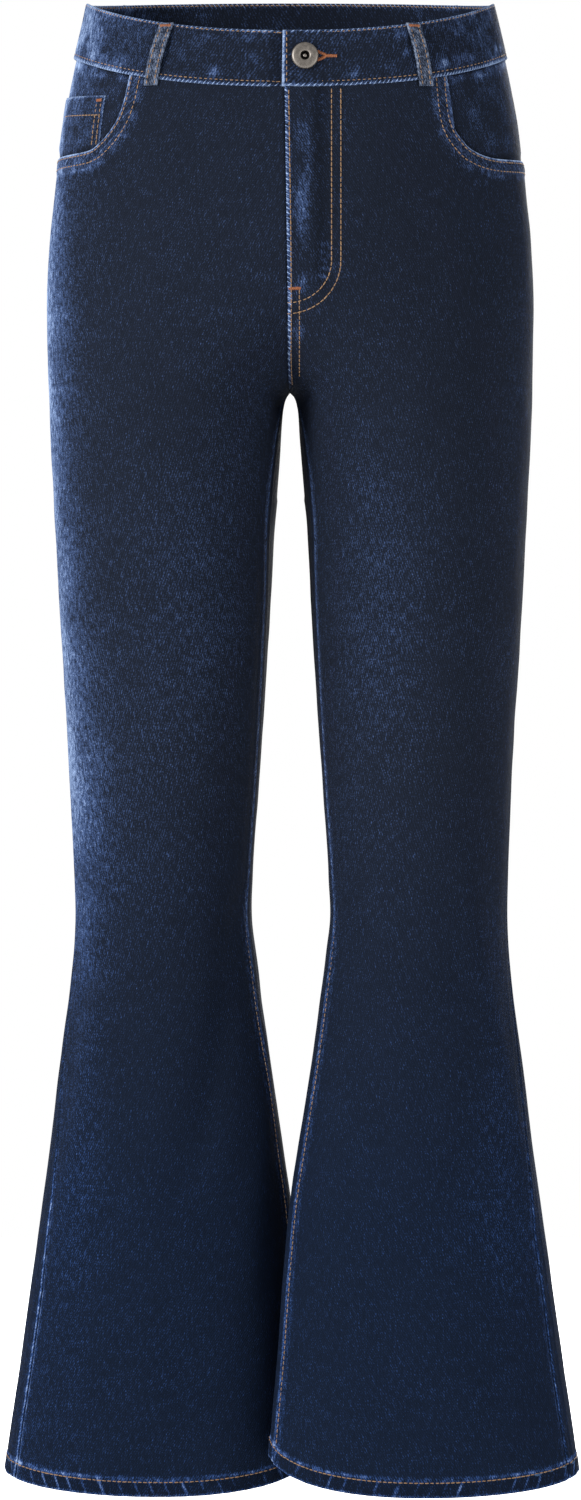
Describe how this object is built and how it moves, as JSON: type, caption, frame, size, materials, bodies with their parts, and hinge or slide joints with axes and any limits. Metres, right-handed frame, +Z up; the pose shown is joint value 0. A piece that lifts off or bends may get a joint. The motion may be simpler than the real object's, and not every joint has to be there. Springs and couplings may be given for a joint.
{
  "type": "bootcut jeans",
  "caption": "Bootcut jeans in dark denim, filled out as when worn: an open waist, slim thighs and hems that flare from the knee.",
  "frame": {"origin": "middle of the waist opening, at the height of the waistband's top edge over the side seams", "axes": "+X to the wearer's left, -Y the front with the fly, +Z up"},
  "size_m": [0.4289, 0.2412, 1.123],
  "materials": {
    "denim": "dark blue washed twill, faded at the seams",
    "worn_denim": "dark blue twill, paler at its edges",
    "loop_twill": "dark blue twill with pale worn edges",
    "button_metal": "dull grey-brown metal"
  },
  "bodies": {
    "root": {"back_left": "denim", "back_pocket_left": "denim", "back_pocket_right": "denim", "back_right": "denim", "belt_loop_1": "loop_twill", "belt_loop_2": "loop_twill", "belt_loop_3": "loop_twill", "belt_loop_4": "loop_twill", "belt_loop_5": "loop_twill", "button": "button_metal", "coin_pocket": "worn_denim", "front_left": "denim", "front_right": "denim", "pocket_facing_left": "denim", "pocket_facing_right": "denim", "waistband": "denim", "yoke_left": "denim", "yoke_right": "denim"}
  },
  "joints": []
}
